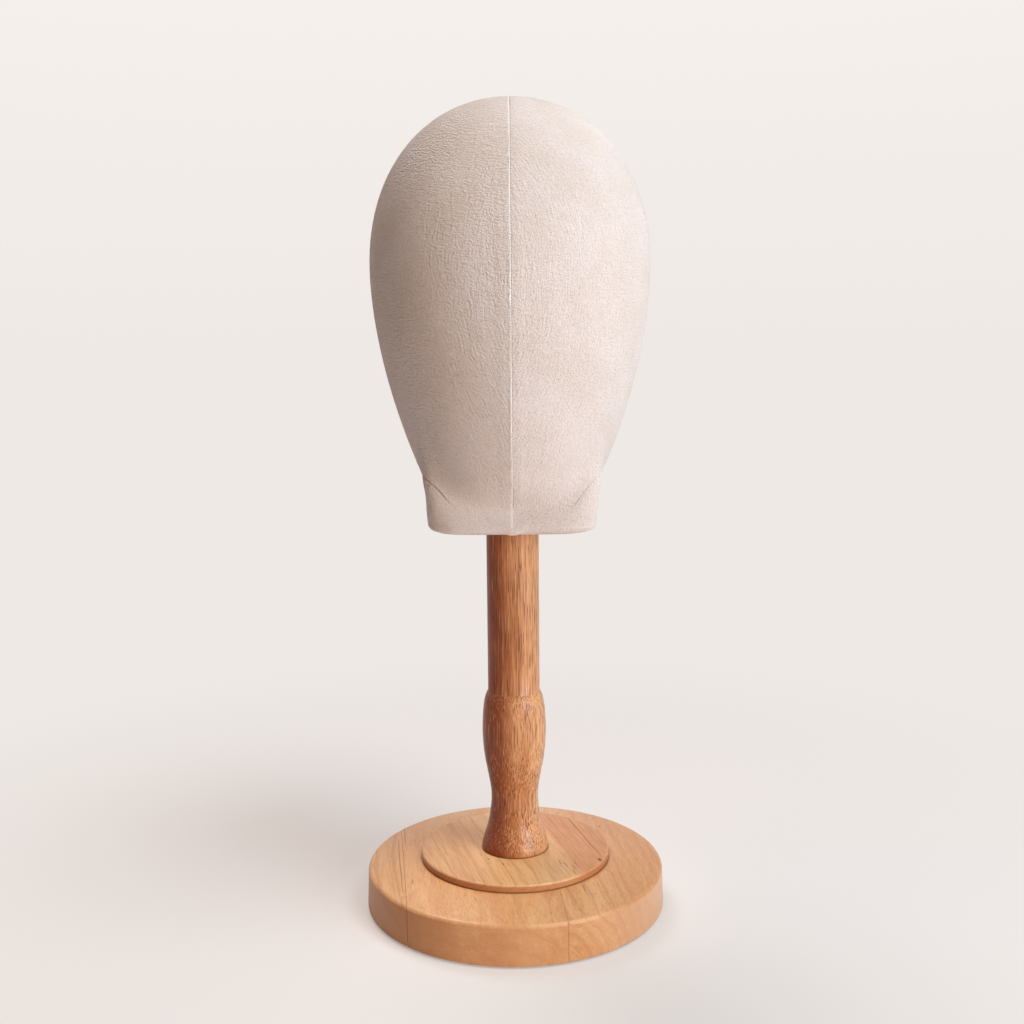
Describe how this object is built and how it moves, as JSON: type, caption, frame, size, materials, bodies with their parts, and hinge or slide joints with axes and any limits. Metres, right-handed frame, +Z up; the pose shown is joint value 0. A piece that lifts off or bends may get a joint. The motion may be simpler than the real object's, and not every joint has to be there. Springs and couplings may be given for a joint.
{
  "type": "hat display stand",
  "caption": "Free-standing hat display stand: a linen-covered faceless head form that turns and lifts off a turned wooden post on a stepped round wooden base.",
  "frame": {"origin": "on the surface that the stand rests on, under the axis of the post", "axes": "+Z up along the post; the front of the head looks along -Y; +X is to the right as seen from the front"},
  "size_m": [0.1816, 0.1898, 0.4776],
  "materials": {
    "base_wood": "light hardwood boards, side grain across the top, satin clear oil",
    "disc_wood": "light hardwood, satin clear oil",
    "post_wood": "turned light hardwood with fine dark pores along the grain, satin clear oil",
    "linen": "plain-woven undyed linen, matt",
    "foam": "rigid foam, matt",
    "plywood": "plain birch plywood",
    "plastic": "moulded off-white plastic",
    "felt": "pressed brown felt",
    "steel": "zinc-plated steel",
    "brass": "plain brass"
  },
  "bodies": {
    "stand": {"foot_pad_1": "felt", "foot_pad_2": "felt", "foot_pad_3": "felt", "foot_pad_4": "felt", "base_board_left": "base_wood", "base_board_middle": "base_wood", "base_board_right": "base_wood", "raised_disc": "disc_wood", "base_bolt": "steel", "spring_washer": "steel", "flat_washer": "steel", "threaded_insert": "brass", "post": "post_wood"},
    "bearing": {"bearing_disc": "felt"},
    "head": {"head_core": "foam", "cover_left": "linen", "cover_right": "linen", "neck_plate": "plywood", "socket_tube": "plastic", "socket_cap": "plastic", "staple_1": "steel", "staple_2": "steel", "staple_3": "steel", "staple_4": "steel", "staple_5": "steel", "staple_6": "steel", "staple_7": "steel", "staple_8": "steel", "sole_cloth": "linen"}
  },
  "joints": [
    {"name": "head_turn", "type": "hinge", "parent": "stand", "child": "bearing", "pos_m": [0, 0, 0.3303], "axis": [0, 0, 1], "continuous": true},
    {"name": "head_lift", "type": "slide", "parent": "bearing", "child": "head", "axis": [0, 0, 1], "range_m": [0, 0.13]}
  ]
}
